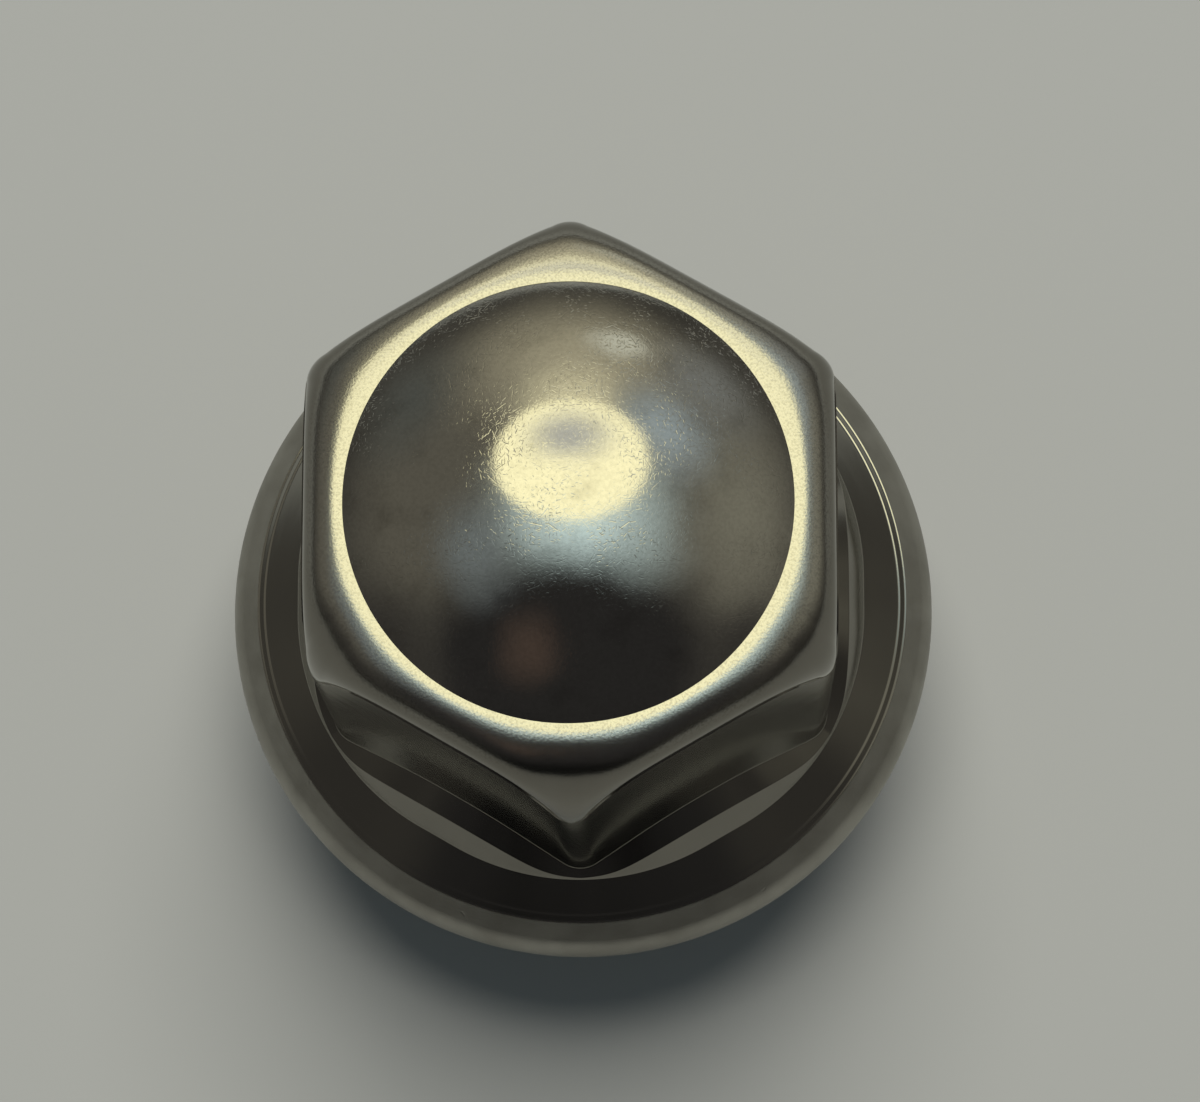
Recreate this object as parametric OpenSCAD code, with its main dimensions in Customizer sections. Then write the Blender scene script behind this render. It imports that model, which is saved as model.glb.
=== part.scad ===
// Closed wheel nut: a hexagon head with a domed crown, a wide flange and a taper seat.
// Millimetres. The axis is Z, and the open end stands on Z = 0 with the crown up.
// Corners of the hexagon point along -Y and +Y, so two of the flats face -X and +X.

/* [Drive hexagon] */
// Width across the flats, which the socket grips
across_flats = 22; // [20:0.5:24]
// Radius of the six upright corners
corner_r = 1.6; // [0.8:0.1:2.4]
// Height of the crown ring above the widest plane of the flange
head_h = 23; // [18:0.5:30]

/* [Crown] */
// Diameter of the dome at the crease round it
dome_d = 18.4; // [14:0.1:18.6]
// Height of the dome above the crown ring
dome_h = 3.3; // [1.5:0.1:6]
// Width of the shoulder that rounds over to the middle of a flat
shoulder_w = 1.35; // [0.6:0.05:1.6]
// Depth of the shoulder at the middle of a flat
shoulder_h = 1.8; // [1:0.1:2.6]
// Width of the shoulder that rounds over to a corner
corner_shoulder_w = 2.3; // [1.6:0.05:2.6]
// Depth of the shoulder at a corner
corner_shoulder_h = 3.1; // [2.7:0.1:4]

/* [Collar] */
// How far the foot of the collar stands out from the flats
collar_step = 1.7; // [1.4:0.05:2]
// How far the steep wall of the collar leans in from its foot to its top
collar_lean = 0.65; // [0.3:0.05:0.9]
// Height of the steep wall of the collar
collar_wall_h = 1.85; // [1:0.05:3]
// Slope of the ledge from the collar up to the flats, from the level
ledge_slope = 42; // [25:1:60]
// Radius of the fillet between the ledge and a flat
ledge_fillet_r = 0.8; // [0.3:0.1:1.2]
// How far the foot of the collar stands out from the corners
collar_corner_step = 0.45; // [0.3:0.05:0.8]

/* [Flange] */
// Largest diameter of the flange
flange_d = 31.9; // [31:0.1:36]
// Diameter of the lip, the crisp edge between the flare and the rim
lip_d = 29.4; // [28.6:0.1:30]
// Width of the level land just inside the lip
land_w = 0.2; // [0.1:0.05:0.4]
// Radius that rounds the rim at the widest plane
rim_r = 1.2; // [0.6:0.1:1.5]
// Slope of the rim up to the lip, from the level
rim_slope = 60; // [50:1:70]
// Rise of the flare from the lip to the foot of the collar
flare_h = 1.35; // [0.8:0.05:2.5]

/* [Seat] */
// Included angle of the taper seat
seat_angle = 60; // [58:1:90]
// Diameter of the taper where it meets the flange
seat_large_d = 28; // [26:0.5:29]
// Diameter of the taper at the open end
seat_small_d = 17; // [16:0.5:19]
// Chamfer that breaks the edge of the open end
edge_break = 0.4; // [0.2:0.1:0.6]

/* [Stud hole] */
// Outside diameter of the stud's thread
thread_d = 14; // [12:1:14]
// Pitch of the thread
thread_pitch = 1.5; // [1.25:0.25:1.5]
// Depth of the tapped hole, above its pointed end
hole_depth = 28; // [24:0.5:29]
// Included angle of the hole's pointed end
drill_angle = 118; // [90:1:140]
// How much wider than the thread the countersunk mouth is
mouth_margin = 0.5; // [0.2:0.1:0.8]
// Included angle of the countersunk mouth
mouth_angle = 90; // [60:5:120]

/* [Hidden] */

$fn = 96;
corner_steps = 8;            // facets round each corner of a section
shoulder_steps = 9;          // sections down the shoulder
fillet_steps = 4;            // sections up the fillet between the ledge and a flat
rim_steps = 12;              // points round the rim
root_depth = 0.9;            // how far the head is rooted in the flange
dome_root = 1;               // how far the dome is rooted in the head
cut_over = 1;                // how far a cutting tool runs past the face it cuts
minor_factor = 1.0825;       // pitches between the outside and the minor diameter of a thread

half_flats = across_flats / 2;
tip_r = (half_flats - corner_r) / cos(30) + corner_r;
hole_d = thread_d - minor_factor * thread_pitch;

// Heights, from the open end up
seat_h = (seat_large_d - seat_small_d) / 2 / tan(seat_angle / 2);
underside_z = edge_break + seat_h;
widest_z = underside_z + rim_r;
bevel_start_r = flange_d / 2 - rim_r * (1 - sin(rim_slope));
bevel_start_z = widest_z + rim_r * cos(rim_slope);
lip_z = bevel_start_z + (bevel_start_r - lip_d / 2) * tan(rim_slope);
collar_foot_z = lip_z + flare_h;
collar_top_z = collar_foot_z + collar_wall_h;
ring_z = widest_z + head_h;

// Radii of the collar's foot, towards a flat and towards a corner
foot_flat_r = half_flats + collar_step;
foot_tip_r = tip_r + collar_corner_step;

// The ledge runs in from the collar's top edge to its fillet, which ends upright on the flat
ledge_run = collar_step - collar_lean;
ledge_tip_run = collar_corner_step / 4;
fillet_run = ledge_fillet_r * (1 - sin(ledge_slope));
flat_foot_z = collar_top_z + (ledge_run - fillet_run) * tan(ledge_slope) + ledge_fillet_r * cos(ledge_slope);

dome_ball_r = (pow(dome_d / 2, 2) + pow(dome_h, 2)) / (2 * dome_h);

// A quarter turn from level to upright: how far out it is, as a share of its width, at a share of its depth
function round_over(depth) = sqrt(1 - pow(1 - min(depth, 1), 2));

// Outline of a hexagon whose corners are arcs, from its radius at the flats and its radius at the corners
function soft_hexagon(flat_r, tip_r) =
    let (arc_r = (flat_r - tip_r * cos(30)) / (1 - cos(30)), arc_centre = tip_r - arc_r)
    [for (corner = [0:5], i = [0:corner_steps])
        let (aim = 30 + 60 * corner, turn = aim - 30 + 60 * i / corner_steps)
        [arc_centre * cos(aim) + arc_r * cos(turn), arc_centre * sin(aim) + arc_r * sin(turn)]];

// Sections of the head as [height, radius at the flats, radius at the corners], from the bottom up
function collar_levels() = [
    [collar_foot_z - root_depth, foot_flat_r, foot_tip_r],
    [collar_foot_z, foot_flat_r, foot_tip_r],
    [collar_top_z, half_flats + ledge_run, tip_r + ledge_tip_run]
];

function ledge_fillet_levels() = [
    for (k = [0:fillet_steps])
        let (lean = (90 - ledge_slope) * (1 - k / fillet_steps), run = ledge_fillet_r * (1 - cos(lean)))
        [flat_foot_z - ledge_fillet_r * sin(lean),
         half_flats + run,
         tip_r + ledge_tip_run * run / ledge_run]
];

function shoulder_levels() = [
    for (k = [shoulder_steps:-1:0])
        let (drop = corner_shoulder_h * (1 - cos(90 * k / shoulder_steps)))
        [ring_z - drop,
         half_flats - shoulder_w * (1 - round_over(drop / shoulder_h)),
         tip_r - corner_shoulder_w * (1 - round_over(drop / corner_shoulder_h))]
];

// A closed skin over a stack of sections
module loft(levels) {
    rings = [for (level = levels) soft_hexagon(level[1], level[2])];
    sides = len(rings[0]);
    points = [for (k = [0:len(levels) - 1]) for (p = rings[k]) [p[0], p[1], levels[k][0]]];
    floor_face = [[for (i = [0:sides - 1]) i]];
    roof_face = [[for (i = [sides - 1:-1:0]) (len(levels) - 1) * sides + i]];
    walls = [for (k = [0:len(levels) - 2], i = [0:sides - 1])
        let (a = k * sides + i, b = k * sides + (i + 1) % sides)
        each [[a, a + sides, b], [b, a + sides, b + sides]]];
    polyhedron(points, concat(floor_face, roof_face, walls), convexity = 4);
}

// Hexagon with its rounded shoulder, standing on the collar
module head() {
    loft(concat(collar_levels(), ledge_fillet_levels(), shoulder_levels()));
}

// Shallow dome inside the crown ring
module dome() {
    intersection() {
        translate([0, 0, ring_z + dome_h - dome_ball_r]) sphere(r = dome_ball_r);
        translate([0, 0, ring_z - dome_root]) cylinder(d = dome_d, h = dome_root + dome_h + cut_over);
    }
}

// Taper seat, rounded rim, lip and flare, turned as one profile
module flange_and_seat() {
    rim_centre_r = flange_d / 2 - rim_r;
    rim_arc = [for (i = [0:rim_steps])
        let (turn = -90 + (180 - rim_slope) * i / rim_steps)
        [rim_centre_r + rim_r * cos(turn), widest_z + rim_r * sin(turn)]];
    // The flare runs on inside the collar, so that the two cross cleanly
    flare_top_r = foot_flat_r - collar_lean;
    flare_top_z = collar_foot_z + collar_lean * flare_h / (lip_d / 2 - land_w - foot_flat_r);
    rotate_extrude()
        polygon(concat(
            [[0, 0],
             [seat_small_d / 2 - edge_break, 0],
             [seat_small_d / 2, edge_break],
             [seat_large_d / 2, underside_z]],
            rim_arc,
            [[lip_d / 2, lip_z],
             [lip_d / 2 - land_w, lip_z],
             [flare_top_r, flare_top_z],
             [0, flare_top_z]]));
}

// Blind hole at the minor diameter of the thread, with a drilled point and a countersunk mouth
module stud_hole() {
    mouth_d = thread_d + 2 * mouth_margin;
    mouth_h = (mouth_d - hole_d) / 2 / tan(mouth_angle / 2);
    point_h = hole_d / 2 / tan(drill_angle / 2);
    translate([0, 0, -cut_over]) cylinder(d = hole_d, h = hole_depth + cut_over);
    translate([0, 0, hole_depth]) cylinder(d1 = hole_d, d2 = 0, h = point_h);
    cylinder(d1 = mouth_d, d2 = hole_d, h = mouth_h);
    translate([0, 0, -cut_over]) cylinder(d = mouth_d, h = cut_over);
}

module wheel_nut() {
    color("#b9b4a6")
        difference() {
            union() {
                flange_and_seat();
                head();
                dome();
            }
            stud_hole();
        }
}

wheel_nut();
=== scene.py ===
"""A closed wheel nut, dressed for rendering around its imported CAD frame.

The nut is made as the real one is. A blank is turned from one profile, its head is pressed to a
hexagon, and its hole is tapped. All sizes are real, in metres, and the axis is Z.
"""

import math

import bpy
import numpy as np
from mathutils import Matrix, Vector


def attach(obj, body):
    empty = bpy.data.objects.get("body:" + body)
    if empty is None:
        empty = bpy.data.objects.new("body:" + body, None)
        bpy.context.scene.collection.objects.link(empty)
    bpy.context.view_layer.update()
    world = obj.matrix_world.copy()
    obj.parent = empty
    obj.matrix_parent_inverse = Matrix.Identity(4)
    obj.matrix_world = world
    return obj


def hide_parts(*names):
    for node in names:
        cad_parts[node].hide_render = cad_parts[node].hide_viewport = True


bl_info = {
    "name": "Closed Wheel Nut",
    "version": (1, 0, 0),
    "blender": (4, 2, 0),
    "location": "3D View > Sidebar > Wheel Nut",
    "description": "Models and finishes a closed wheel nut with a flange and a taper seat",
    "category": "Add Mesh",
}

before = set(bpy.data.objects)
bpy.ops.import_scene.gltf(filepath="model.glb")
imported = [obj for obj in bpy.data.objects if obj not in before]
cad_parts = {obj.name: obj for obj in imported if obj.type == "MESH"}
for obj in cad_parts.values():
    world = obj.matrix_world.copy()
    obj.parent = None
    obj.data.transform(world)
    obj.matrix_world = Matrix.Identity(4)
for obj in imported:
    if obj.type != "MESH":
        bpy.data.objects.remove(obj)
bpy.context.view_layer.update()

MM = 0.001

# The camera: its focal length and image width in pixels, its place in millimetres and its turn
FOCAL_PIXELS, IMAGE_WIDTH = 4368.4, 1200
CAMERA_PLACE = (5.11673, -38.69246, 207.30112)
CAMERA_TURN = (11.9198, 1.2672, -0.0147)

AROUND = 360          # profiles round the blank
SECTOR = 60           # degrees from one corner of the hexagon to the next
FIRST_CORNER = 30     # degrees from +X to the first corner
CROWDING = 0.72       # share by which the profiles crowd towards the corners
HOLD = 0.04           # millimetres from a round to the loop that holds the flat face beside it flat
SHARP = math.radians(28)          # edges sharper than this are shaded as edges

# The side whose corner and lip are the most worn, from +X. Facing is 0 on the far side and 1 there:
# the wear starts at one share of it, and is full after another.
WORN_SIDE = math.radians(-104)
WORN_START, WORN_SPREAD = 0.3, 0.6

MINOR = 1.0825        # pitches between the outside and the minor diameter of a thread

DOME_POINTS = 45
SHOULDER_POINTS = 31
DEEPENING = 2.2       # how sharply the shoulder deepens close to a corner
CREASE_FADE = 0.12    # share of the way from a corner over which the crease fades in
CREASE_DROP = 0.8     # height of the crease, as a share of its width

# The lip is a narrow band between two small lands, in millimetres
BAND_WIDTH = 0.38
BAND_RISE = 0.216
LAND_WIDTH = 0.09
LAND_DROP = 0.0175
MOST_WORN = 0.92      # how far the worn side is flattened towards the plain flare


# Colours


def linear(code):
    """The linear colour of an sRGB hex code."""
    parts = [int(code[i : i + 2], 16) / 255 for i in (1, 3, 5)]
    return tuple(c / 12.92 if c <= 0.04045 else ((c + 0.055) / 1.055) ** 2.4 for c in parts)


def tint(code):
    """The linear colour of an sRGB hex code, with an alpha of 1."""
    return (*linear(code), 1)


def colour(name, code, description):
    """A colour that the user can change."""
    return bpy.props.FloatVectorProperty(
        name=name, description=description, default=linear(code),
        subtype="COLOR", size=3, min=0, max=1,
    )


def length(name, millimetres, description):
    """A length that the user can change."""
    return bpy.props.FloatProperty(
        name=name, description=description, default=millimetres * MM,
        min=0, unit="LENGTH", precision=5,
    )


def angle(name, degrees, description):
    """An angle that the user can change."""
    return bpy.props.FloatProperty(
        name=name, description=description, default=math.radians(degrees),
        subtype="ANGLE", unit="ROTATION",
    )


# Sizes and finishes


class NutSizes(bpy.types.PropertyGroup):
    """Sizes of the head, the flange and the taper"""

    across_flats: length("Across Flats", 22, "Width across the flats")
    corner_radius: length("Corner Radius", 1.45, "Radius of the upright corners")
    head_height: length("Head Height", 23, "Height of the crown ring above the widest plane")
    dome_width: length("Dome Width", 18.4, "Diameter of the dome at its crease")
    dome_height: length("Dome Height", 3.3, "Height of the dome above the crown ring")
    ring_width: length("Ring Width", 0.2, "Width of the level crown ring at a flat")
    corner_ring_width: length("Corner Ring Width", 0.3, "Width of the level crown ring at a corner")
    shoulder_depth: length("Shoulder Depth", 1.6, "Depth of the shoulder at a flat")
    rear_shoulder_depth: length("Rear Shoulder Depth", 2.9, "Shoulder depth at the rear corner")
    front_shoulder_depth: length("Front Shoulder Depth", 5.2, "Shoulder depth at the front")
    crease_width: length("Crease Width", 0.07, "Width of the crease under the shoulder")
    collar_step: length("Collar Step", 1.7, "How far the collar's foot stands out from a flat")
    collar_lean: length("Collar Lean", 0.7, "How far the collar's wall leans in")
    collar_wall: length("Collar Wall", 1.7, "Height of the collar's steep wall")
    ledge_slope: angle("Ledge Slope", 39, "Slope of the ledge above the collar")
    ledge_fillet: length("Ledge Fillet", 0.06, "Radius of the fillet between the ledge and a flat")
    collar_corner_step: length("Collar Corner Step", 0.45, "How far the foot stands off a corner")
    flange_width: length("Flange Width", 31.9, "Largest diameter of the flange")
    lip_width: length("Lip Width", 29.4, "Diameter of the lip above the rim")
    rim_radius: length("Rim Radius", 1.2, "Radius that rounds the rim from its widest plane down")
    rim_brow: length("Rim Brow", 2, "Radius that rounds the rim from its widest plane up")
    rim_slope: angle("Rim Slope", 47, "Slope of the rim up to the lip")
    flare_rise: length("Flare Rise", 1.63, "Rise of the flare from the lip to the collar")
    seat_angle: angle("Seat Angle", 60, "Included angle of the taper seat")
    seat_large: length("Seat Large Width", 28, "Diameter of the taper at the flange")
    seat_small: length("Seat Small Width", 17, "Diameter of the taper at the open end")
    edge_break: length("Edge Break", 0.4, "Chamfer round the open end")


class HoleSizes(bpy.types.PropertyGroup):
    """Sizes of the tapped hole"""

    thread: length("Thread", 14, "Outside diameter of the stud's thread")
    pitch: length("Pitch", 1.5, "Pitch of the thread")
    depth: length("Depth", 28, "Depth of the drilled hole above its point")
    tapped: length("Tapped Depth", 25, "Depth to which the hole is tapped")
    point: angle("Drill Point", 118, "Included angle of the drilled point")
    mouth_margin: length("Mouth Margin", 0.5, "How much wider than the thread the mouth is")


class NutFinish(bpy.types.PropertyGroup):
    """Colours and wear of the steel"""

    steel: colour("Bright Steel", "#BCBAB2", "Colour of the bright plated steel")
    # This brown serves for real stains and oil, and also as painted shade below the crown ring and
    # on steep slopes
    grime_and_shade: colour("Grime", "#4A443A", "Colour of the film in the hollows")
    scratch_depth: length("Scratch Depth", 0.0031, "Depth of the fine scratches on the dome")


class StageSetup(bpy.types.PropertyGroup):
    """The floor and the lamp"""

    paper: colour("Paper", "#AEAEA7", "Colour of the pale floor")
    floor_width: length("Floor Width", 4000, "Width of the floor")
    lamp_distance: length("Lamp Distance", 1200, "Distance of the soft lamp from the nut")
    lamp_width: length("Lamp Width", 780, "Width of the soft lamp")
    lamp_power: bpy.props.FloatProperty(
        name="Lamp Power", description="Power of the soft lamp", default=13.75, min=0, unit="POWER"
    )
    lamp_lean: angle("Lamp Lean", 21, "Angle of the lamp from upright, towards the rear")


# Helpers for meshes and nodes


def add(tree, kind, inputs=None, **settings):
    """Adds one node with its settings, and its values or links by socket."""
    node = tree.nodes.new(kind)
    for key, value in settings.items():
        setattr(node, key, value)
    for key, value in (inputs or {}).items():
        if isinstance(value, bpy.types.NodeSocket):
            tree.links.new(value, node.inputs[key])
        else:
            node.inputs[key].default_value = value
    return node


def start_material(name):
    """An empty metal material: its node tree and its shader."""
    material = bpy.data.materials.new(name)
    material.use_nodes = True
    tree = material.node_tree
    tree.nodes.clear()
    looks = {"Metallic": 1, "Specular Tint": (0.9, 0.9, 0.88, 1)}
    shader = add(tree, "ShaderNodeBsdfPrincipled", looks)
    add(tree, "ShaderNodeOutputMaterial", {"Surface": shader.outputs[0]})
    return material, tree, shader


def draw_chain(name, points):
    """A chain of edges in the XZ plane, drawn from one point in millimetres to the next."""
    bpy.ops.object.select_all(action="DESELECT")
    bpy.ops.mesh.primitive_plane_add(size=MM)
    piece = bpy.context.object
    piece.name = piece.data.name = name
    bpy.ops.object.mode_set(mode="EDIT")
    bpy.ops.mesh.merge(type="CENTER")
    bpy.ops.transform.translate(value=(points[0][0] * MM, 0, points[0][1] * MM))
    for (r0, z0), (r1, z1) in zip(points, points[1:]):
        step = ((r1 - r0) * MM, 0, (z1 - z0) * MM)
        bpy.ops.mesh.extrude_vertices_move(TRANSFORM_OT_translate={"value": step})
    bpy.ops.object.mode_set(mode="OBJECT")
    return piece


def close_skin(merge=0.0001):
    """Merges doubles and turns the faces of the piece in edit mode outwards."""
    bpy.ops.mesh.select_all(action="SELECT")
    bpy.ops.mesh.remove_doubles(threshold=merge * MM)
    bpy.ops.mesh.normals_make_consistent(inside=False)


# The profile of the blank
#
# A profile is a line of points, each a radius and a height in millimetres, from the top of the dome
# down to the rim, and up the hole to its point. It changes with the angle from a corner of the
# hexagon, and from the rear of the nut to its worn front. Every profile has the same number of
# points, so that the blank is turned from one of them, and its head is then pressed to the others.
#
# The ledge runs up at one slope from the collar to the head. It is shorter beside a corner, so it
# meets the head lower there, which scallops the collar.


def rounded(corner, before, after, radius, points):
    """Points on the arc that rounds a corner between the points before and after it."""
    corner, before, after = Vector(corner), Vector(before), Vector(after)
    a, b = (before - corner).normalized(), (after - corner).normalized()
    half = a.angle(b) / 2
    centre = corner + (a + b).normalized() * radius / math.sin(half)
    start = corner + a * radius / math.tan(half) - centre
    end = corner + b * radius / math.tan(half) - centre
    turn = start.angle_signed(end)
    arc = []
    for i in range(points):
        step = -turn * i / (points - 1)
        c, s = math.cos(step), math.sin(step)
        arc.append(centre + Vector((c * start.x - s * start.y, s * start.x + c * start.y)))
    return arc


def softened(corners):
    """Rounds a list of corners (r, z, radius, points), and holds the faces between them flat."""
    spots = [Vector(c[:2]) for c in corners]
    runs = []
    for i, (r, z, radius, points) in enumerate(corners):
        if radius:
            runs.append(rounded(spots[i], spots[i - 1], spots[i + 1], radius, points))
        else:
            runs.append([spots[i]])
    line = []
    for run, following in zip(runs, runs[1:] + [None]):
        line += run
        if following:
            a, b = run[-1], following[0]
            step = (b - a).normalized() * min(HOLD, (b - a).length / 3)
            line += [a + step, b - step]
    return [tuple(p) for p in line]


def mix(a, b, share):
    """A value between two others, by its share of the way."""
    return a + (b - a) * share


def soft_radius(flat, tip, turn):
    """Radius of a hexagon with arcs for corners, at an angle from a corner."""
    c30 = math.cos(math.radians(30))
    arc = (flat - tip * c30) / (1 - c30)
    centre = tip - arc
    r = centre * math.cos(turn) + math.sqrt(max(arc**2 - (centre * math.sin(turn)) ** 2, 0))
    lean = math.atan2(r * math.sin(turn), r * math.cos(turn) - centre)
    return flat / math.cos(math.radians(30) - turn) if lean > math.radians(30) else r


def widest_height(s):
    """Height of the flange's widest plane above the open end, in millimetres."""
    rise = (s.seat_large - s.seat_small) / 2 / math.tan(s.seat_angle / 2)
    return (s.edge_break + rise + s.rim_radius) / MM


def crown_line(s, turn, front):
    """Over the dome, the crown ring and the shoulder, to where the head is upright."""
    dome, rise = s.dome_width / 2 / MM, s.dome_height / MM
    top = widest_height(s) + s.head_height / MM
    ball = (dome**2 + rise**2) / (2 * rise)
    spread = math.asin(dome / ball)
    line = []
    for i in range(DOME_POINTS):
        lean = spread * i / (DOME_POINTS - 1)
        line.append((ball * math.sin(lean), top + rise - ball * (1 - math.cos(lean))))
    flat, tip = s.across_flats / 2 / MM, tip_radius(s)
    wall = soft_radius(flat, tip, turn)
    corner = (wall - flat) / (tip - flat)
    width = wall - dome - mix(s.ring_width, s.corner_ring_width, corner) / MM
    corner_depth = mix(s.rear_shoulder_depth, s.front_shoulder_depth, front)
    depth = mix(s.shoulder_depth, corner_depth, corner**DEEPENING) / MM
    start = wall - width
    crease = s.crease_width / MM * min(1, (1 - corner) / CREASE_FADE)
    foot = top - depth - CREASE_DROP * crease
    line += [(dome + HOLD, top), (mix(dome, start, 0.5), top)]
    for i in range(SHOULDER_POINTS):
        lean = math.pi / 2 * i / (SHOULDER_POINTS - 1)
        line.append((start + (width - crease) * math.sin(lean), top - depth * (1 - math.cos(lean))))
    return line + [(wall, foot - 0.001), (wall, foot - HOLD)]


def tip_radius(s):
    """Radius of the upright corners from the axis, in millimetres."""
    flat, corner = s.across_flats / 2 / MM, s.corner_radius / MM
    return (flat - corner) / math.cos(math.radians(30)) + corner


def foot_line(s, turn, front):
    """Down the upright head, over the ledge and the collar, down the flare and over the lip."""
    flat, tip, widest = s.across_flats / 2 / MM, tip_radius(s), widest_height(s)
    brow, slope = s.rim_brow / MM, s.rim_slope
    lip, edge = s.lip_width / 2 / MM, s.flange_width / 2 / MM
    bevel_r = edge - brow * (1 - math.sin(slope))
    bevel_z = widest + brow * math.cos(slope)
    lip_z = bevel_z + (bevel_r - lip) * math.tan(slope)
    foot, foot_z = flat + s.collar_step / MM, lip_z + s.flare_rise / MM
    straight, worn = (foot_z - lip_z) / (lip - foot), MOST_WORN * front
    band_r, band_z = lip - BAND_WIDTH, lip_z + mix(BAND_RISE, BAND_WIDTH * straight, worn)
    land = mix(LAND_DROP, LAND_WIDTH * straight, worn)
    fall = (foot_z - band_z) / (band_r - foot)
    lean, wall_h = s.collar_lean / MM, s.collar_wall / MM

    wall = soft_radius(flat, tip, turn)
    end_r = soft_radius(foot, tip + s.collar_corner_step / MM, turn)
    end_z = foot_z - (end_r - foot) * fall
    away = math.radians(30) - turn
    line_r = (foot - lean) / math.cos(away)
    spare = (end_r - line_r) / lean
    lift = (spare + math.sqrt(spare**2 + 0.5)) / (1 + math.sqrt(1.5))
    top_r, top_z = end_r - lean * lift, end_z + wall_h * lift
    meet_z = top_z + (top_r - wall) * math.tan(s.ledge_slope)
    return softened(
        [
            (wall, meet_z + 0.6, 0, 0),
            (wall, meet_z, s.ledge_fillet / MM, 8),
            (top_r, top_z, 0.02 + 0.08 * lift, 4),
            (end_r, end_z, 0.05 + 0.15 * lift, 6),
            (band_r, band_z, 0.05, 3),
            (band_r + LAND_WIDTH, band_z - land, 0.03, 3),
            (lip - LAND_WIDTH, lip_z + land, 0.03, 3),
            (lip, lip_z, 0.03, 3),
            (bevel_r, bevel_z, 0, 0),
        ]
    )


def seat_line(s, h):
    """Round the rim, down the taper to the open end and up the hole to its point."""
    widest, rim, edge = widest_height(s), s.rim_radius / MM, s.flange_width / 2 / MM
    turn, brow = math.pi / 2 - s.rim_slope, s.rim_brow / MM
    arc = []
    for i in range(1, 11):
        a = turn * (1 - i / 10)
        arc.append((edge - brow + brow * math.cos(a), widest + brow * math.sin(a)))
    for i in range(1, 14):
        a = -math.pi / 2 * i / 13
        arc.append((edge - rim + rim * math.cos(a), widest + rim * math.sin(a)))
    end, bevel = s.seat_small / 2 / MM, s.edge_break / MM
    wall, core = h.thread / 2 / MM, (h.thread - MINOR * h.pitch) / 2 / MM
    mouth, tapped, drilled = wall + h.mouth_margin / MM, h.tapped / MM, h.depth / MM
    return arc[:-1] + softened(
        [
            (*arc[-1], 0, 0),
            (s.seat_large / 2 / MM, widest - rim, 0.3, 6),
            (end, bevel, 0.12, 5),
            (end - bevel, 0, 0.08, 4),
            (mouth, 0, 0.06, 4),
            (wall, mouth - wall, 0.05, 3),
            (wall, tapped, 0, 0),
            (core, tapped + 0.6, 0, 0),
            (core, drilled, 0.1, 3),
            (0, drilled + core / math.tan(h.point / 2), 0, 0),
        ]
    )


def whole_line(s, h, turn, front):
    """The whole profile at an angle from a corner, from the rear (0) to the worn front (1)."""
    return crown_line(s, turn, front) + foot_line(s, turn, front) + seat_line(s, h)


def press_head(piece, s, h):
    """Presses the turned blank to its hexagon, profile by profile."""
    mesh = piece.data
    co = np.zeros(len(mesh.vertices) * 3)
    mesh.vertices.foreach_get("co", co)
    station = np.zeros(len(mesh.vertices))
    mesh.attributes["station"].data.foreach_get("value", station)
    x, y = co.reshape(-1, 3)[:, :2].T
    degrees = np.degrees(np.arctan2(y, x)) - FIRST_CORNER
    corner = np.rint(degrees / SECTOR) * SECTOR
    place = np.rint((degrees - corner) * AROUND / 360).astype(int)
    steps = AROUND * SECTOR // 720
    turns = np.arange(steps + 1) * 360 / AROUND
    turns -= CROWDING * SECTOR / 2 / math.pi * np.sin(turns * 2 * math.pi / SECTOR)
    aim = np.radians(FIRST_CORNER + corner + np.sign(place) * turns[np.abs(place)])
    share = np.clip(((1 + np.cos(aim - WORN_SIDE)) / 2 - WORN_START) / WORN_SPREAD, 0, 1)
    share = (share**2 * (3 - 2 * share))[:, None]
    rear, front = (
        np.array([whole_line(s, h, math.radians(turn), end) for turn in turns])[
            np.abs(place), np.rint(station).astype(int)
        ]
        for end in (0, 1)
    )
    r, z = mix(rear, front, share).T
    pressed = np.column_stack([r * np.cos(aim), r * np.sin(aim), z]) * MM
    mesh.vertices.foreach_set("co", pressed.ravel())
    mesh.update()


# Materials
#
# All of them work on object coordinates, so their patterns keep real sizes. The grain of the
# plating is finer than a tenth of a millimetre. It is drawn at about 0.1 mm, as coarse as it needs
# to be to show.

TOOL_FEED = 0.16      # millimetres between the rings that the turning tool leaves


def place(tree, size, stretch=(1, 1, 1), shift=0, turn=0):
    """Object coordinates with one unit to a size in millimetres, stretched, shifted and turned."""
    away = add(tree, "ShaderNodeTexCoord").outputs["Object"]
    scale = tuple(1 / (size * MM * k) for k in stretch)
    moved = {"Vector": away, "Scale": scale, "Rotation": (0, 0, turn)}
    moved["Location"] = (shift, shift / 3, -shift)
    return add(tree, "ShaderNodeMapping", moved).outputs[0]


def grain(tree, size, stretch=(1, 1, 1), detail=2, shift=0, turn=0):
    """Noise with grains of a size in millimetres, about 0.5 in the middle."""
    cloud = {"Vector": place(tree, size, stretch, shift, turn), "Scale": 1, "Detail": detail}
    return add(tree, "ShaderNodeTexNoise", cloud).outputs["Fac"]


def ramp(tree, value, low, high, at_low=0.0, at_high=1.0):
    """A value eased from one level to another between two limits."""
    limits = {"Value": value, "From Min": low, "From Max": high}
    limits |= {"To Min": at_low, "To Max": at_high}
    return add(tree, "ShaderNodeMapRange", limits, interpolation_type="SMOOTHSTEP").outputs[0]


def sums(tree, kind, *values):
    """Folds values into one by a math operation."""
    total = values[0]
    for value in values[1:]:
        total = add(tree, "ShaderNodeMath", {0: total, 1: value}, operation=kind).outputs[0]
    return total


def height(tree):
    """Height above the open end, in millimetres."""
    away = add(tree, "ShaderNodeTexCoord").outputs["Object"]
    z = add(tree, "ShaderNodeSeparateXYZ", {0: away}).outputs[2]
    return sums(tree, "MULTIPLY", z, 1 / MM)


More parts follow.
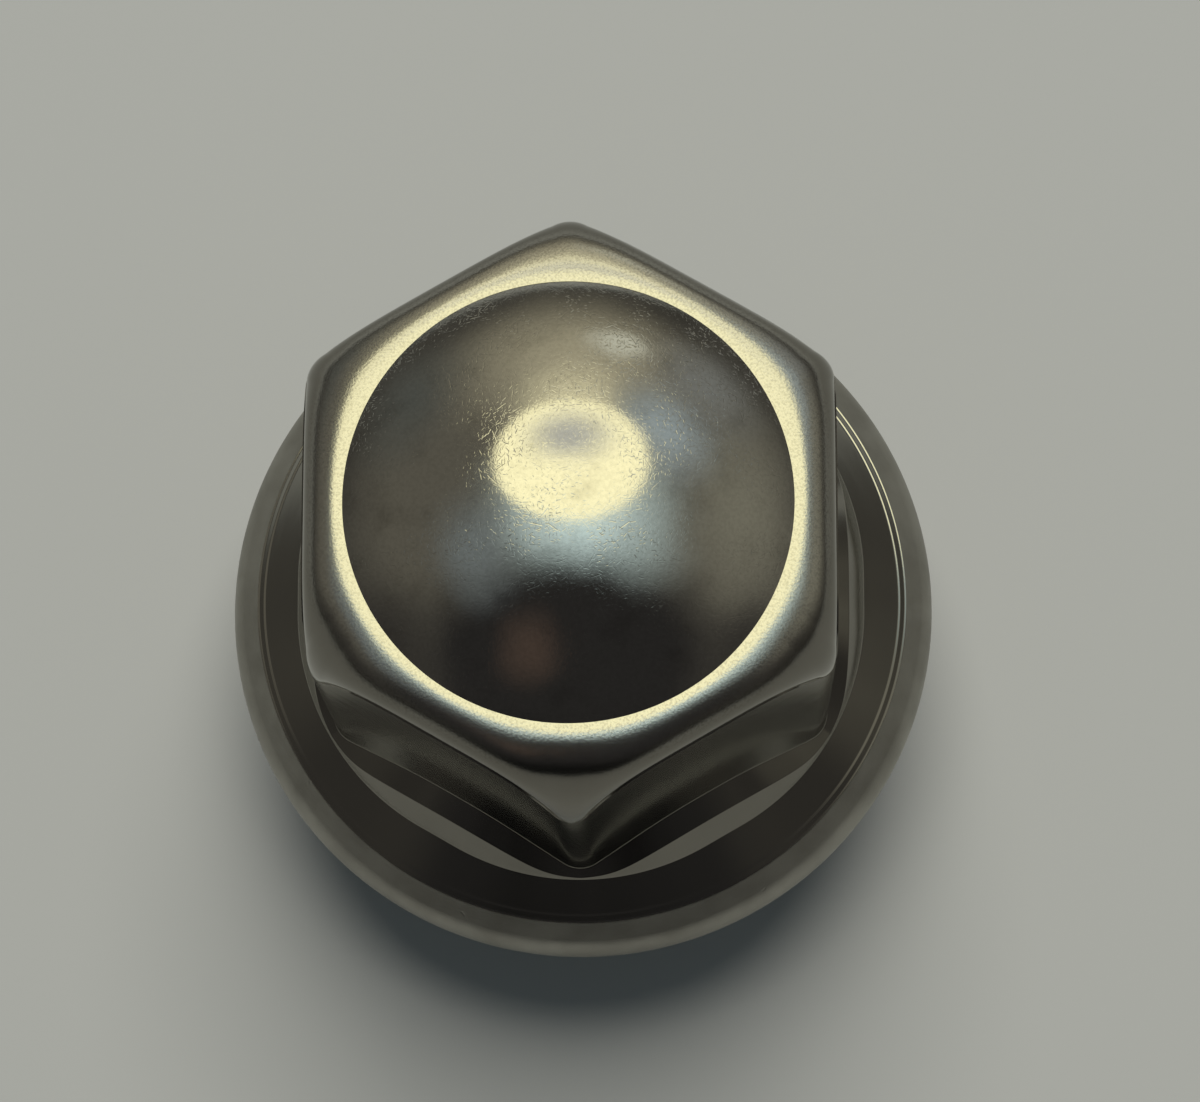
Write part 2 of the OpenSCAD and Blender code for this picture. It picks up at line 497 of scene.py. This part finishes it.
def scratches(tree, spacing, wide, shift):
    """Short straight scratches at all angles, at a spacing in millimetres: 1 in a groove."""
    spot = place(tree, spacing, shift=shift)
    cells = {"Vector": spot, "Scale": 1}
    cell = add(tree, "ShaderNodeTexVoronoi", cells, voronoi_dimensions="2D")
    gap = {0: spot, 1: cell.outputs["Position"]}
    gap = add(tree, "ShaderNodeVectorMath", gap, operation="SUBTRACT")
    chance = add(tree, "ShaderNodeSeparateColor", {0: cell.outputs["Color"]})
    aim = sums(tree, "MULTIPLY", chance.outputs[0], math.pi)
    turned = {"Vector": gap.outputs[0], "Angle": aim}
    turned = add(tree, "ShaderNodeVectorRotate", turned, rotation_type="Z_AXIS")
    parts = add(tree, "ShaderNodeSeparateXYZ", {0: turned.outputs[0]})
    along = add(tree, "ShaderNodeMath", {0: parts.outputs[0]}, operation="ABSOLUTE").outputs[0]
    across = add(tree, "ShaderNodeMath", {0: parts.outputs[1]}, operation="ABSOLUTE").outputs[0]
    groove = ramp(tree, across, 0, wide / spacing, 1, 0)
    ends = ramp(tree, along, 0.2, 0.55, 1, 0)
    deep = ramp(tree, chance.outputs[1], 0.1, 0.9, 0.15, 1)
    return sums(tree, "MULTIPLY", groove, ends, deep)


def emboss(tree, shader, high, depth):
    """Gives the shader a relief of a depth in millimetres."""
    relief = add(tree, "ShaderNodeBump", {"Height": high, "Strength": 1, "Distance": depth * MM})
    tree.links.new(relief.outputs[0], shader.inputs["Normal"])


def roughen(tree, shader, rough):
    """Gives the shader a roughness that varies."""
    tree.links.new(rough, shader.inputs["Roughness"])


def film_and_shade(tree, shader, finish, share):
    """Mixes the steel towards the brown colour by its share: real stains in some finishes, painted
    shade in others.
    """
    tones = {"Factor": share, 6: (*finish.steel, 1), 7: (*finish.grime_and_shade, 1)}
    mixed = add(tree, "ShaderNodeMix", tones, data_type="RGBA").outputs[2]
    tree.links.new(mixed, shader.inputs["Base Color"])


def scratched_dome(finish):
    """Bright plating rubbed dull: a soft mirror frayed by fine scratches at all angles."""
    material, tree, shader = start_material("scratched_dome")
    fine = scratches(tree, 0.15, 0.018, 3)
    middle = scratches(tree, 0.27, 0.022, 17)
    coarse = scratches(tree, 0.62, 0.028, 41)
    # The scratches come in patches, and thin out towards the front
    patch = ramp(tree, grain(tree, 2.2, shift=5), 0.38, 0.62, 0.3, 1)
    away = add(tree, "ShaderNodeSeparateXYZ", {0: place(tree, 1)}).outputs[1]
    patch = sums(tree, "MULTIPLY", patch, ramp(tree, away, -1.5, -4.5, 1, 0.4))
    worn = sums(tree, "ADD", fine, middle, sums(tree, "MULTIPLY", coarse, 0.8))
    worn = sums(tree, "MULTIPLY", worn, patch)
    wave = sums(tree, "MULTIPLY", grain(tree, 1.1, detail=3), 0.9)
    rub = sums(tree, "MULTIPLY", grain(tree, 0.12, detail=2, shift=9), 0.5)
    relief = sums(tree, "SUBTRACT", sums(tree, "ADD", wave, rub), worn)
    emboss(tree, shader, relief, finish.scratch_depth / MM)
    roughen(tree, shader, ramp(tree, grain(tree, 3.5, detail=4, shift=2), 0.3, 0.7, 0.07, 0.12))
    blotch = ramp(tree, grain(tree, 1.7, detail=6, shift=21), 0.5, 0.8, 0.0, 0.25)
    mottle = ramp(tree, grain(tree, 0.16, detail=4, shift=33), 0.38, 0.66, 0.0, 0.1)
    film_and_shade(tree, shader, finish, sums(tree, "ADD", blotch, mottle))
    return material


def plated_faces(finish, ring_z):
    """Bright plating: satin and grainy on the crown ring, a wavy mirror on the flats and flare."""
    material, tree, shader = start_material("plated_faces")
    z = height(tree)
    crown = ramp(tree, z, ring_z - 1.3, ring_z - 0.15)
    roughen(tree, shader, ramp(tree, crown, 0, 1, 0.12, 0.23))
    speck = grain(tree, 0.1, detail=2)
    pits = sums(tree, "MULTIPLY", speck, crown, 2.2)
    wave = grain(tree, 1.3, (3, 3, 0.8), 2)
    rub = sums(tree, "MULTIPLY", grain(tree, 0.2, (3, 3, 1), 3, shift=4), 0.04)
    emboss(tree, shader, sums(tree, "ADD", pits, wave, rub), 0.0030)
    dust = sums(tree, "MULTIPLY", ramp(tree, speck, 0.42, 0.7), crown, 0.22)
    # Painted shade darkens the steel below the ring, half as much on the flare and by a blotchy
    # amount, and more on steep slopes, standing in for darker reflections there
    low = ramp(tree, z, ring_z - 0.25, ring_z - 0.9, 0.0, 0.14)
    low = sums(tree, "MULTIPLY", low, ramp(tree, z, ring_z - 19.6, ring_z - 19, 0.5, 1))
    lift = add(tree, "ShaderNodeTexCoord").outputs["Normal"]
    lift = add(tree, "ShaderNodeSeparateXYZ", {0: lift}).outputs[2]
    # Painted shade on steep slopes, set by the tilt of the normal
    steep = sums(tree, "MULTIPLY", ramp(tree, lift, 0.92, 0.62), ramp(tree, lift, 0.02, 0.12), 0.56)
    stain = ramp(tree, grain(tree, 2.4, detail=5, shift=13), 0.3, 0.75, 0.9, 1.15)
    # The brown mix carries the painted shade below the ring and on slopes, plus real dust specks on
    # the ring
    film_and_shade(tree, shader, finish, sums(tree, "ADD", sums(tree, "MULTIPLY", low, stain), steep, dust))
    return material


def satin_rim(finish):
    """Turned and tumbled rim: a satin sheen with small nicks and dull spots."""
    material, tree, shader = start_material("satin_rim")
    roughen(tree, shader, ramp(tree, grain(tree, 1.2, detail=4), 0.3, 0.7, 0.32, 0.4))
    dull = grain(tree, 0.09, detail=3, shift=6)
    nicks = ramp(tree, grain(tree, 0.6, detail=2, shift=31), 0.72, 0.8)
    nicks = sums(tree, "MULTIPLY", nicks, -1.5)
    emboss(tree, shader, sums(tree, "ADD", dull, nicks), 0.005)
    stain = grain(tree, 2.2, detail=5, shift=8)
    film_and_shade(tree, shader, finish, ramp(tree, stain, 0.3, 0.75, 0.38, 0.54))
    return material


def turned_seat(finish):
    """Turned taper: fine tool rings across a dull plated face."""
    material, tree, shader = start_material("turned_seat")
    shader.inputs["Roughness"].default_value = 0.33
    feed = sums(tree, "MULTIPLY", height(tree), math.tau / TOOL_FEED)
    rings = add(tree, "ShaderNodeMath", {0: feed}, operation="SINE").outputs[0]
    rough = sums(tree, "MULTIPLY", grain(tree, 0.3, detail=3), 1.6)
    emboss(tree, shader, sums(tree, "ADD", rings, rough), 0.0035)
    stain = grain(tree, 3.0, detail=5, shift=8)
    film_and_shade(tree, shader, finish, ramp(tree, stain, 0.35, 0.75, 0.1, 0.35))
    return material


def tapped_bore(finish):
    """Cut steel deep in the hole: dull, and brown where the oil has dried."""
    material, tree, shader = start_material("tapped_bore")
    shader.inputs["Roughness"].default_value = 0.4
    emboss(tree, shader, grain(tree, 0.2, (3, 3, 1), 3), 0.008)
    oil = grain(tree, 1.5, detail=4, shift=3)
    film_and_shade(tree, shader, finish, ramp(tree, oil, 0.3, 0.75, 0.15, 0.8))
    return material


# Pieces


def paint_regions(piece, s, h):
    """Gives each face the finish of its region: faces, dome, rim, seat or bore."""
    mesh = piece.data
    centre = np.zeros(len(mesh.polygons) * 3)
    mesh.polygons.foreach_get("center", centre)
    x, y, z = centre.reshape(-1, 3).T / MM
    r = np.hypot(x, y)
    widest, ring_z = widest_height(s), widest_height(s) + s.head_height / MM
    region = np.zeros(len(r), dtype=np.int32)
    region[(z > ring_z) & (r < s.dome_width / 2 / MM)] = 1
    region[(z < widest + 2.5) & (r > s.lip_width / 2 / MM - 0.02)] = 2
    region[z < widest - s.rim_radius / MM] = 3
    region[(z < ring_z - 1) & (r < h.thread / 2 / MM + h.mouth_margin / MM)] = 4
    mesh.polygons.foreach_set("material_index", region)
    mesh.update()


def ride_frame(piece):
    """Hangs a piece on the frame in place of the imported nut."""
    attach(piece, "root")


class NUT_OT_shell(bpy.types.Operator):
    """Turn the blank of the nut and press its hexagon"""

    bl_idname = "wheel_nut.shell"
    bl_label = "Nut Shell"

    def execute(self, context):
        s, h, finish = context.scene.nut_sizes, context.scene.hole_sizes, context.scene.nut_finish
        line = whole_line(s, h, math.radians(SECTOR / 2), 0)
        piece = draw_chain("nut_shell", line)
        mark = piece.data.attributes.new("station", "FLOAT", "POINT")
        if len(mark.data) != len(line):
            raise RuntimeError("The profile has lost a point")
        mark.data.foreach_set("value", [float(i) for i in range(len(line))])
        bpy.ops.object.mode_set(mode="EDIT")
        bpy.ops.mesh.select_all(action="SELECT")
        bpy.ops.mesh.spin(steps=AROUND, angle=2 * math.pi, center=(0, 0, 0), axis=(0, 0, 1))
        close_skin()
        bpy.ops.object.mode_set(mode="OBJECT")
        press_head(piece, s, h)
        bpy.ops.object.mode_set(mode="EDIT")
        close_skin()
        bpy.ops.object.mode_set(mode="OBJECT")
        piece.data.attributes.remove(piece.data.attributes["station"])
        bpy.ops.object.shade_smooth_by_angle(angle=SHARP)
        widest = widest_height(s)
        ring_z = widest + s.head_height / MM
        for material in (plated_faces(finish, ring_z), scratched_dome(finish), satin_rim(finish),
                         turned_seat(finish), tapped_bore(finish)):
            piece.data.materials.append(material)
        paint_regions(piece, s, h)
        ride_frame(piece)
        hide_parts("wheel_nut")
        return {"FINISHED"}


class NUT_OT_thread(bpy.types.Operator):
    """Cut the thread that takes the stud"""

    bl_idname = "wheel_nut.thread"
    bl_label = "Thread"

    def execute(self, context):
        h = context.scene.hole_sizes
        wall, pitch = h.thread / 2 / MM, h.pitch / MM
        core = wall - MINOR * pitch / 2
        start = h.mouth_margin / MM + 0.47 * pitch
        turns = int((h.tapped / MM - start) / pitch - 0.5)
        root, crest = pitch * 7 / 16 + 0.03, pitch / 8
        section = [(wall + 0.05, -root), (core, -crest), (core, crest), (wall + 0.05, root)]
        piece = draw_chain("stud_thread", [(r, start + z) for r, z in section])
        bpy.ops.object.mode_set(mode="EDIT")
        bpy.ops.mesh.select_all(action="SELECT")
        bpy.ops.mesh.edge_face_add()
        bpy.ops.mesh.delete(type="ONLY_FACE")
        bpy.ops.object.mode_set(mode="OBJECT")
        bpy.ops.object.modifier_add(type="SCREW")
        winding = piece.modifiers[-1]
        winding.screw_offset, winding.iterations = h.pitch, turns
        winding.steps = winding.render_steps = 96
        winding.use_smooth_shade = False
        bpy.ops.object.modifier_apply(modifier=winding.name)
        bpy.ops.object.mode_set(mode="EDIT")
        bpy.ops.mesh.select_all(action="SELECT")
        bpy.ops.mesh.fill_holes(sides=4)
        close_skin()
        bpy.ops.object.mode_set(mode="OBJECT")
        bpy.ops.object.shade_smooth_by_angle(angle=SHARP)
        piece.data.materials.append(bpy.data.materials["tapped_bore"])
        ride_frame(piece)
        return {"FINISHED"}


class NUT_OT_stage(bpy.types.Operator):
    """Lay the pale floor and set the soft light and the camera"""

    bl_idname = "wheel_nut.stage"
    bl_label = "Stage"

    def execute(self, context):
        setup = context.scene.stage_setup
        bpy.ops.object.select_all(action="DESELECT")
        bpy.ops.mesh.primitive_plane_add(size=setup.floor_width)
        floor = context.object
        floor.name = "paper_floor"
        material = bpy.data.materials.new("matt_paper")
        material.use_nodes = True
        shader = material.node_tree.nodes["Principled BSDF"]
        shader.inputs["Base Color"].default_value = (*setup.paper, 1)
        shader.inputs["Roughness"].default_value = 0.9
        shader.inputs["Specular IOR Level"].default_value = 0
        floor.data.materials.append(material)
        light_nut(context.scene, setup)
        aim_camera(context.scene)
        return {"FINISHED"}


def light_nut(scene, setup):
    """One soft lamp overhead, and a dim studio round it."""
    data = bpy.data.lights.new("soft_lamp", "AREA")
    data.shape, data.size, data.energy = "DISK", setup.lamp_width, setup.lamp_power
    data.color = linear("#FFFEFB")
    lamp = bpy.data.objects.new("soft_lamp", data)
    scene.collection.objects.link(lamp)
    lean = setup.lamp_lean
    lamp.location = Vector((LAMP_ASIDE, math.sin(lean), math.cos(lean))) * setup.lamp_distance
    lamp.rotation_euler = (-lean, 0, 0)
    lamp.visible_glossy = False
    world = bpy.data.worlds.new("studio")
    scene.world = world
    world.use_nodes = True
    tree = world.node_tree
    tree.nodes.clear()
    still = add(tree, "ShaderNodeTexCoord").outputs["Generated"]
    stir = {"Vector": still, "Scale": 3.5, "Detail": 3}
    stir = add(tree, "ShaderNodeTexNoise", stir).outputs["Color"]
    stir = {0: stir, 1: (0.5, 0.5, 0.5)}
    stir = add(tree, "ShaderNodeVectorMath", stir, operation="SUBTRACT").outputs[0]
    ruffled = {0: stir, 1: (STIR, STIR, STIR), 2: still}
    ruffled = add(tree, "ShaderNodeVectorMath", ruffled, operation="MULTIPLY_ADD").outputs[0]
    rise = add(tree, "ShaderNodeSeparateXYZ", {0: ruffled}).outputs[2]
    walls = {"Factor": ramp(tree, rise, 0.05, 0.45), 6: tint("#52504B"), 7: tint("#726F66")}
    picture = add(tree, "ShaderNodeMix", walls, data_type="RGBA").outputs[2]
    for lean, turn, tall, wide, edge, code, gain, calm in STUDIO:
        lean, turn = math.radians(lean), math.radians(turn)
        out = math.sin(lean)
        centre = (out * math.cos(turn), out * math.sin(turn), math.cos(lean))
        reach = (math.sin(math.radians(tall)), math.sin(math.radians(wide)), PATCH_DEPTH)
        spot = {"Vector": still if calm else ruffled, "Location": centre}
        spot |= {"Rotation": (0, lean, turn), "Scale": reach}
        spot = add(tree, "ShaderNodeMapping", spot, vector_type="TEXTURE").outputs[0]
        ball = add(tree, "ShaderNodeTexGradient", {"Vector": spot}, gradient_type="SPHERICAL")
        share = ramp(tree, ball.outputs["Fac"], 0, edge)
        tones = {"Factor": share, 6: picture, 7: (*[c * gain for c in linear(code)], 1)}
        picture = add(tree, "ShaderNodeMix", tones, data_type="RGBA").outputs[2]
    seen = add(tree, "ShaderNodeLightPath")
    plain = add(tree, "ShaderNodeBackground", {"Color": tint("#59626A"), "Strength": 1})
    shown = add(tree, "ShaderNodeBackground", {"Color": picture, "Strength": 1})
    rays = [seen.outputs[f"Is {kind} Ray"] for kind in ("Camera", "Glossy", "Transmission")]
    direct = sums(tree, "MAXIMUM", *rays)
    mixed = {0: direct, 1: plain.outputs[0], 2: shown.outputs[0]}
    mixed = add(tree, "ShaderNodeMixShader", mixed)
    add(tree, "ShaderNodeOutputWorld", {"Surface": mixed.outputs[0]})


LAMP_ASIDE = 0.045    # how far the lamp stands towards +X, as a share of its distance
STIR = 0.16           # how far the uneven patches are ruffled
PATCH_DEPTH = 1.2     # reach of a patch towards the nut and away

# Patches of the studio round the nut: degrees from upright, degrees round from +X, half height,
# half width, share that is soft edge, colour, strength, and whether the edge is even
STUDIO = [
    (58, 90, 36, 48, 1, "#CEC7AD", 1, False),
    (58, 8, 34, 46, 1, "#949285", 1, False),
    (4, 350, 45, 46, 1, "#E3FBFF", 1.3, False),
    (44, 48, 21, 25, 1, "#BCCBD3", 1, False),
    (52, 268, 54, 84, 0.4, "#333232", 1, False),
    (82, 266, 16, 50, 0.7, "#181818", 1, False),
    (76, 208, 26, 30, 0.8, "#454340", 1, False),
    (76, 325, 26, 28, 0.8, "#454340", 1, False),
    (45, 250, 18, 13, 0.9, "#594C45", 1, False),
    (68, 50, 18, 24, 1, "#949796", 1, False),
    (72, 138, 22, 26, 1, "#636663", 1, False),
    (33, 196, 19, 24, 1, "#889195", 1, False),
    (66, 77, 8, 10, 0.8, "#F1F2E1", 1, False),
    (42, 90, 18, 22, 1, "#FFF8D2", 1.15, False),
    (21, 90, 22, 26, 0.09, "#FFF9CD", 2, True),
    (29, 91, 13, 20, 0.9, "#E5E7E3", 1, True),
]


def aim_camera(scene):
    """The camera, 20 centimetres off and nearly overhead."""
    data = bpy.data.cameras.new("camera")
    data.sensor_width = 36
    data.lens = FOCAL_PIXELS / IMAGE_WIDTH * data.sensor_width
    data.clip_start = 0.01
    camera = bpy.data.objects.new("camera", data)
    scene.collection.objects.link(camera)
    camera.location = Vector(CAMERA_PLACE) * MM
    camera.rotation_euler = [math.radians(a) for a in CAMERA_TURN]
    scene.camera = camera


class NUT_PT_panel(bpy.types.Panel):
    """Sizes and pieces of the wheel nut"""

    bl_idname = "NUT_PT_panel"
    bl_label = "Wheel Nut"
    bl_space_type = "VIEW_3D"
    bl_region_type = "UI"
    bl_category = "Wheel Nut"

    def draw(self, context):
        for group in GROUPS:
            settings = getattr(context.scene, group)
            box = self.layout.box()
            for name in settings.__annotations__:
                box.prop(settings, name)
        for operator in PIECES:
            self.layout.operator(operator.bl_idname)


GROUPS = {
    "nut_sizes": NutSizes,
    "hole_sizes": HoleSizes,
    "nut_finish": NutFinish,
    "stage_setup": StageSetup,
}
PIECES = (NUT_OT_shell, NUT_OT_thread, NUT_OT_stage)


def register():
    for kind in (*GROUPS.values(), *PIECES, NUT_PT_panel):
        bpy.utils.register_class(kind)
    for name, kind in GROUPS.items():
        setattr(bpy.types.Scene, name, bpy.props.PointerProperty(type=kind))


def unregister():
    for name in GROUPS:
        delattr(bpy.types.Scene, name)
    for kind in (NUT_PT_panel, *reversed(PIECES), *GROUPS.values()):
        bpy.utils.unregister_class(kind)


def main():
    register()
    bpy.ops.wheel_nut.shell()
    bpy.ops.wheel_nut.thread()
    bpy.ops.wheel_nut.stage()
    bpy.context.scene.view_settings.view_transform = "Standard"


if __name__ == "__main__":
    main()
